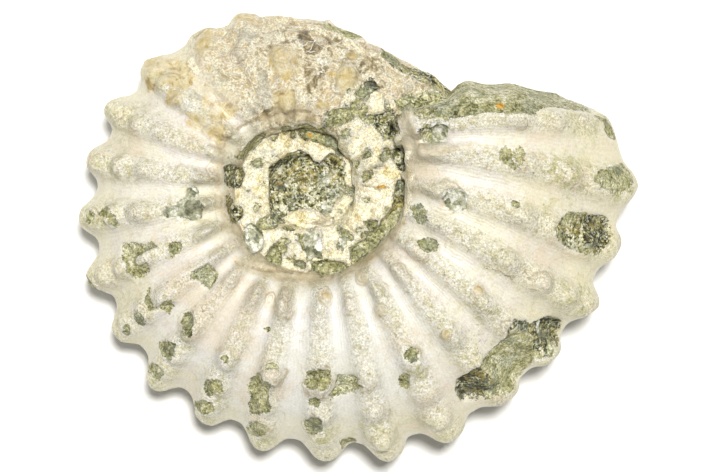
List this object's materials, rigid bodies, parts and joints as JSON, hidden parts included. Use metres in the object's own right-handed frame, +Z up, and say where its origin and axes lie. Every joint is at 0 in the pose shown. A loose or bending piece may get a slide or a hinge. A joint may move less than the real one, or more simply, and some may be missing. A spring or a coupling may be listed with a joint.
{
  "type": "ammonite fossil",
  "caption": "Loose ribbed ammonite fossil, a stout coiled shell with knobbed ribs and a rock-filled aperture, lying on its flank for display",
  "frame": {"origin": "middle of the object's box in plan, on the surface it lies on", "axes": "+X runs along the longest diameter, from the old part of the last turn towards the aperture's outer side. +Z is up, out of the flank that faces up. +Y is the way the aperture opens"},
  "size_m": [0.114, 0.0916, 0.0555],
  "materials": {
    "fossil_shell": "chalky white fossil shell, satin, with patches of greenish sandstone"
  },
  "bodies": {
    "root": {"ammonite": "fossil_shell"}
  },
  "joints": []
}
